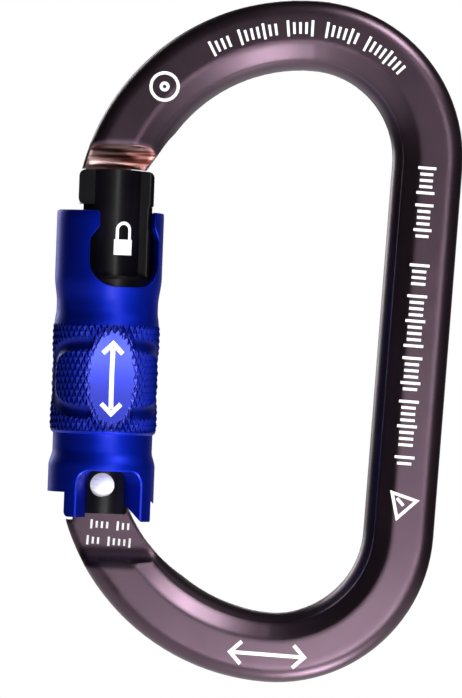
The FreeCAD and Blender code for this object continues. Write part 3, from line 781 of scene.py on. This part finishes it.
def scoop_mask(tree):
    """1 on the two milled scoops across the nose, which are cylinders along X in the lock frame."""
    skin = 0.06 * MM
    parts = separate(tree, lock_position(tree))
    side = maths(tree, "SUBTRACT", maths(tree, "ABSOLUTE", parts["Y"]), NOSE_SCOOP_Y_MM * MM)
    rise = maths(tree, "SUBTRACT", parts["Z"], NOSE_SCOOP_Z_MM * MM)
    squares = maths(tree, "ADD", maths(tree, "POWER", side, 2.0), maths(tree, "POWER", rise, 2.0))
    distance = maths(tree, "SUBTRACT", maths(tree, "SQRT", squares), NOSE_SCOOP_R_MM * MM)
    on_cylinder = maths(tree, "LESS_THAN", maths(tree, "ABSOLUTE", distance), skin)
    on_nose = maths(tree, "LESS_THAN", parts["X"], NOSE_END_X_MM * MM)
    return maths(tree, "MULTIPLY", on_cylinder, on_nose)


def anodised(name, dark, light, roughness, metallic, specular, grain_bump, coat):
    """Satin anodised aluminium: blasted grain, slight colour drift and uneven polish."""
    material, tree, shader = material_nodes(name)
    position = object_position(tree)
    drift = noise(tree, position, 55.0)
    tree.links.new(ramp(tree, drift, [(0.3, dark), (0.72, light)]), shader.inputs["Base Color"])
    polish = noise(tree, position, 260.0)
    tree.links.new(map_range(tree, polish, *roughness), shader.inputs["Roughness"])
    grain = noise(tree, position, 2600.0, 2.0)
    tree.links.new(bump(tree, grain, grain_bump, GRAIN_DEPTH), shader.inputs["Normal"])
    shader.inputs["Metallic"].default_value = metallic
    shader.inputs["Specular IOR Level"].default_value = specular
    shader.inputs["Coat Weight"].default_value = coat
    shader.inputs["Coat Roughness"].default_value = 0.32
    return material


def plum_anodised():
    """The body's finish: satin plum, and in the milled scoops a thin coppery one in streaks, whose pale
    pink peaks are painted highlights.
    """
    material = anodised("plum_anodised", dark=(0.064, 0.039, 0.056), light=(0.084, 0.053, 0.073),
                        roughness=(0.29, 0.37), metallic=0.95, specular=0.35, grain_bump=0.22, coat=0.18)
    tree = material.node_tree
    shader = tree.nodes["Principled BSDF"]
    plain = shader.inputs["Base Color"].links[0].from_socket
    streaks = noise(tree, lock_position(tree, scale=(90, 90, 1400)), 1.0, 4.0)
    # Streaks in the scoops: dark to copper is the milled surface's tint, and the pale pink top is a
    # painted highlight.
    copper_and_highlight_stops = [(0.38, (0.07, 0.014, 0.008)), (0.50, (0.30, 0.13, 0.12)), (0.62, (0.85, 0.60, 0.58))]
    copper_and_painted_sheen = ramp(tree, streaks, copper_and_highlight_stops)
    tree.links.new(mix_colours(tree, scoop_mask(tree), plain, copper_and_painted_sheen), shader.inputs["Base Color"])
    rounding = add_node(tree, "ShaderNodeBevel", samples=6)
    rounding.inputs["Radius"].default_value = 1.3 * MM
    grain = shader.inputs["Normal"].links[0].from_node
    tree.links.new(rounding.outputs["Normal"], grain.inputs["Normal"])
    return material


def blue_anodised():
    """Turned blue anodising with fine rings round the axis. The facets are polished, and the knurled
    band's blue is darkened as painted shade between the diamonds.
    """
    material, tree, shader = material_nodes("blue_anodised")
    position = lock_position(tree)
    drift = noise(tree, position, 90.0)
    colour = ramp(tree, drift, [(0.3, (0.0004, 0.012, 0.37)), (0.75, (0.0006, 0.018, 0.48))])
    rings = add_node(tree, "ShaderNodeTexWave", wave_type="BANDS", bands_direction="Z")
    rings.inputs["Scale"].default_value = 900.0
    rings.inputs["Distortion"].default_value = 0.6
    rings.inputs["Detail"].default_value = 2.0
    tree.links.new(position, rings.inputs["Vector"])
    grain = noise(tree, position, 3500.0, 2.0)
    rings_normal = bump(tree, rings.outputs["Fac"], 0.10, GRAIN_DEPTH)
    tree.links.new(bump(tree, grain, 0.08, GRAIN_DEPTH, rings_normal), shader.inputs["Normal"])

    # The two facets are ovals, and the knurl is the rest of the band.
    parts = separate(tree, lock_position(tree, FACET_CENTRE))
    side = maths(tree, "DIVIDE", parts["X"], FACET_HALF_WIDTH_MM * MM)
    rise = maths(tree, "SUBTRACT", parts["Z"], BAND_MIDDLE_MM * MM)
    rise = maths(tree, "DIVIDE", rise, FACET_HALF_LENGTH_MM * MM)
    oval = maths(tree, "ADD", maths(tree, "POWER", side, 2.0), maths(tree, "POWER", rise, 2.0))
    facet = maths(tree, "LESS_THAN", oval, 1.0)
    half_band = (BAND_TOP_MM - BAND_BOTTOM_MM) / 2 / FACET_HALF_LENGTH_MM
    band = maths(tree, "LESS_THAN", maths(tree, "ABSOLUTE", rise), half_band)
    knurled = maths(tree, "MULTIPLY", band, maths(tree, "SUBTRACT", 1.0, facet))
    # A darker blue on the knurled band: painted shade between the diamonds.
    painted_knurl_shade = ramp(tree, drift, [(0.3, (0.0004, 0.008, 0.23)), (0.75, (0.0006, 0.011, 0.30))])
    tree.links.new(mix_colours(tree, knurled, colour, painted_knurl_shade), shader.inputs["Base Color"])
    polish = map_range(tree, noise(tree, position, 300.0), 0.50, 0.60)
    tree.links.new(maths(tree, "SUBTRACT", polish, maths(tree, "MULTIPLY", facet, 0.16)),
                   shader.inputs["Roughness"])
    tree.links.new(maths(tree, "ADD", maths(tree, "MULTIPLY", facet, 0.7), 0.22),
                   shader.inputs["Coat Weight"])
    shader.inputs["Metallic"].default_value = 1.0
    shader.inputs["Coat Roughness"].default_value = 0.35
    return material


def steel(name, colour, roughness, metallic=1.0):
    """Stainless steel with faint scratches."""
    material, tree, shader = material_nodes(name)
    position = object_position(tree)
    scratches = noise(tree, object_position(tree, scale=(1, 1, 14)), 420.0, 4.0)
    darker = tuple(c * 0.82 for c in colour)
    tree.links.new(ramp(tree, scratches, [(0.35, darker), (0.65, colour)]), shader.inputs["Base Color"])
    tree.links.new(map_range(tree, noise(tree, position, 700.0), *roughness), shader.inputs["Roughness"])
    tree.links.new(bump(tree, scratches, 0.12, SCRATCH_DEPTH), shader.inputs["Normal"])
    shader.inputs["Metallic"].default_value = metallic
    return material


def white_print():
    """Matt white ink with a slightly broken surface."""
    material, tree, shader = material_nodes("white_print")
    position = object_position(tree)
    speckle = noise(tree, position, 900.0, 4.0)
    colour = ramp(tree, speckle, [(0.25, (0.80, 0.80, 0.80)), (0.5, (0.93, 0.93, 0.93))])
    tree.links.new(colour, shader.inputs["Base Color"])
    tree.links.new(map_range(tree, speckle, 0.5, 0.7), shader.inputs["Roughness"])
    tree.links.new(bump(tree, speckle, 0.1, GRAIN_DEPTH), shader.inputs["Normal"])
    return material


def finish_cad_nodes(materials):
    """Gives each carried-over CAD node its material."""
    finishes = {
        "body_frame": "plum", "gate_arm": "black", "hinge_rivet": "rivet", "gate_plunger": "steel",
        "gate_spring": "wire", "track_bush": "bronze", "guide_pin": "steel",
        "thrust_washer": "steel", "spring_seat": "steel", "sleeve_spring": "wire",
    }
    for node, finish in finishes.items():
        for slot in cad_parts[node].material_slots:
            slot.material = materials[finish]


# ---- stage ----
def make_floor():
    """A plain round floor, well below the object."""
    bpy.ops.mesh.primitive_circle_add(vertices=96, radius=FLOOR_RADIUS, fill_type="NGON",
                                      location=(0, 0, FLOOR_Z))
    floor = bpy.context.object
    floor.name = "studio_floor"
    material, tree, shader = material_nodes("pale_floor")
    clouds = noise(tree, object_position(tree), 6.0)
    tone = ramp(tree, clouds, [(0.3, (0.84, 0.84, 0.84)), (0.7, (0.88, 0.88, 0.88))])
    tree.links.new(tone, shader.inputs["Base Color"])
    shader.inputs["Roughness"].default_value = 0.85
    floor.data.materials.append(material)


def area_light(name, azimuth, elevation, distance, width, height, power, aim=(0, 0, 0)):
    """A soft box. Azimuth 0 is the camera's side, positive towards the spine, in degrees.

    It points at the middle of the view, or at a place given in mm from there.
    """
    target = VIEW_CENTRE + Vector(aim) * MM
    az, el = math.radians(azimuth), math.radians(elevation)
    towards = Vector((math.sin(az) * math.cos(el), -math.cos(az) * math.cos(el), math.sin(el)))
    data = bpy.data.lights.new(name, "AREA")
    data.shape = "RECTANGLE"
    data.size = width
    data.size_y = height
    data.energy = power
    light = bpy.data.objects.new(name, data)
    bpy.context.scene.collection.objects.link(light)
    light.location = target + towards * distance
    light.rotation_mode = "QUATERNION"
    light.rotation_quaternion = (-towards).to_track_quat("-Z", "Y")
    return light


def make_world():
    """A white backdrop to the camera. It lights the object weakly from the front, more from behind."""
    world = bpy.data.worlds.new("studio")
    bpy.context.scene.world = world
    world.use_nodes = True
    tree = world.node_tree
    tree.nodes.clear()
    output = add_node(tree, "ShaderNodeOutputWorld")
    seen = add_node(tree, "ShaderNodeBackground")
    seen.inputs["Color"].default_value = (1.0, 1.0, 1.0, 1.0)
    lighting = add_node(tree, "ShaderNodeBackground")
    coordinates = add_node(tree, "ShaderNodeTexCoord")
    split = add_node(tree, "ShaderNodeSeparateXYZ")
    tree.links.new(coordinates.outputs["Generated"], split.inputs["Vector"])
    tree.links.new(ramp(tree, split.outputs["Y"], BACKDROP_TONES), lighting.inputs["Color"])
    path = add_node(tree, "ShaderNodeLightPath")
    mix = add_node(tree, "ShaderNodeMixShader")
    tree.links.new(path.outputs["Is Camera Ray"], mix.inputs["Fac"])
    tree.links.new(lighting.outputs["Background"], mix.inputs[1])
    tree.links.new(seen.outputs["Background"], mix.inputs[2])
    tree.links.new(mix.outputs["Shader"], output.inputs["Surface"])


def make_camera():
    """A long lens from the front, rolled as the object leans in the picture."""
    data = bpy.data.cameras.new("camera")
    data.sensor_fit = "AUTO"
    data.sensor_width = 36.0
    data.lens = data.sensor_width * VIEW_DISTANCE / VIEW_HEIGHT
    data.clip_start = 0.01
    camera = bpy.data.objects.new("camera", data)
    bpy.context.scene.collection.objects.link(camera)
    c, s = math.cos(VIEW_ROLL), math.sin(VIEW_ROLL)
    right, up, back = Vector((c, 0, s)), Vector((-s, 0, c)), Vector((0, -1, 0))
    place = VIEW_CENTRE + back * VIEW_DISTANCE
    camera.matrix_world = Matrix.Translation(place) @ Matrix((right, up, back)).transposed().to_4x4()
    bpy.context.scene.camera = camera


def make_lights():
    """Soft boxes all round, and a wide one under the object that faces the floor."""
    for soft_box in SOFT_BOXES:
        area_light(*soft_box)
    floor_wash = area_light("floor_wash", 0, 90, 0.1, 2.4, 2.4, 18.0)
    floor_wash.location = (0, 0, FLOOR_Z + FLOOR_WASH_LIFT)


def build():
    materials = {
        "plum": plum_anodised(),
        "black": anodised("black_anodised", dark=(0.0015, 0.0012, 0.002), light=(0.004, 0.0032, 0.005),
                          roughness=(0.27, 0.34), metallic=0.0, specular=0.20, grain_bump=0.12, coat=0.0),
        "steel": steel("stainless_steel", (0.93, 0.92, 0.90), (0.32, 0.42)),
        "rivet": steel("polished_rivet", (1.0, 0.99, 0.97), (0.40, 0.50), 0.3),
        "wire": steel("spring_wire", (0.60, 0.60, 0.62), (0.2, 0.35)),
        "bronze": steel("machined_bronze", (0.66, 0.44, 0.22), (0.25, 0.4)),
        "blue": blue_anodised(),
        "white": white_print(),
    }
    finish_cad_nodes(materials)
    make_sleeve(materials["blue"])
    make_prints(materials["white"])
    make_floor()
    make_world()
    make_camera()
    make_lights()
    bpy.context.scene.view_settings.view_transform = "Standard"


build()
